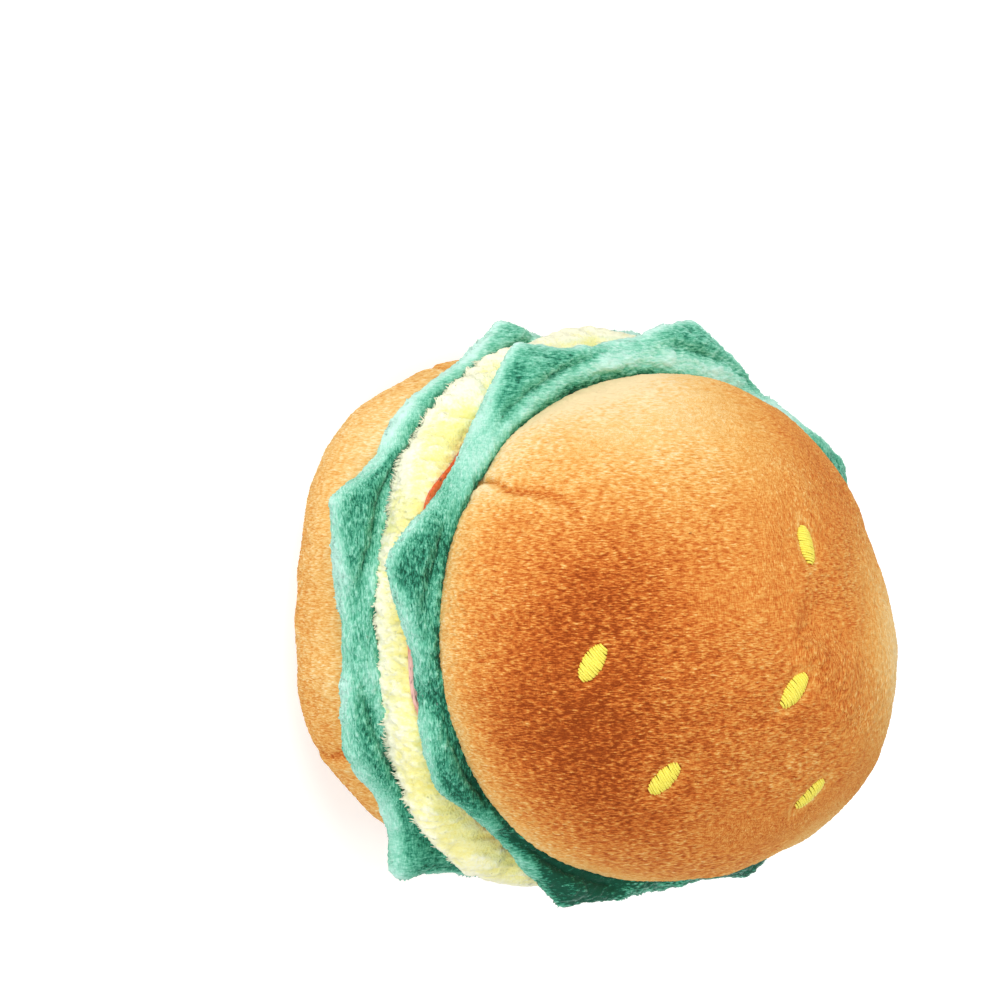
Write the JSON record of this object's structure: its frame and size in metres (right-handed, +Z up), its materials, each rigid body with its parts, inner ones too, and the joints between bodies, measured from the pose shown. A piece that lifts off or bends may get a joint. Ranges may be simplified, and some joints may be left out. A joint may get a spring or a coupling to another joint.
{
  "type": "squeaky dog toy",
  "caption": "Soft plush burger for a dog, with stuffed buns, leaf frills, a tomato slice and a fluffy cheese pad that squeezes onto a bellows squeaker inside.",
  "frame": {"origin": "middle of the flat the toy rests on, under its lower bun", "axes": "+Z up the middle of the stack towards the upper bun; -Y is the side that faces the viewer"},
  "size_m": [0.1043, 0.1104, 0.0858],
  "materials": {
    "bun_plush": "short-pile plush",
    "leaf_plush": "short-pile plush",
    "cheese_plush": "long-pile plush",
    "tomato_cloth": "smooth knitted cloth",
    "seed_thread": "satin-stitched thread",
    "lining_cloth": "plain woven cloth",
    "fibre_filling": "loose polyester fibre",
    "squeaker_plastic": "blow-moulded polythene",
    "reed_plastic": "stamped film"
  },
  "bodies": {
    "lower_stack": {"bottom_bun_cover": "bun_plush", "bottom_bun_stuffing": "fibre_filling", "bottom_bun_lining": "lining_cloth", "bottom_lettuce_back": "leaf_plush", "bottom_lettuce_face": "leaf_plush", "cheese_bottom_panel": "lining_cloth", "cheese_band": "cheese_plush", "cheese_stuffing": "fibre_filling", "squeaker_bellows": "squeaker_plastic", "squeaker_plug": "squeaker_plastic"},
    "upper_stack": {"cheese_top_panel": "lining_cloth", "tomato_slice": "tomato_cloth", "top_lettuce_back": "leaf_plush", "top_lettuce_face": "leaf_plush", "top_bun_lining": "lining_cloth", "top_bun_stuffing": "fibre_filling", "top_bun_cover": "bun_plush", "sesame_seed_1": "seed_thread", "sesame_seed_2": "seed_thread", "sesame_seed_3": "seed_thread", "sesame_seed_4": "seed_thread", "sesame_seed_5": "seed_thread"},
    "reed": {"squeaker_reed": "reed_plastic"}
  },
  "joints": [
    {"name": "squeeze", "type": "slide", "parent": "lower_stack", "child": "upper_stack", "axis": [0, 0, -1], "range_m": [0, 0.005], "stiffness_N_per_m": 1200, "deforming": ["cheese_band", "cheese_stuffing", "squeaker_bellows"]},
    {"name": "reed_flutter", "type": "hinge", "parent": "lower_stack", "child": "reed", "pos_m": [-0.00306, 0, 0.0305], "axis": [0, -1, 0], "range_deg": [-5, 5], "stiffness_Nm_per_rad": 0.00005}
  ]
}
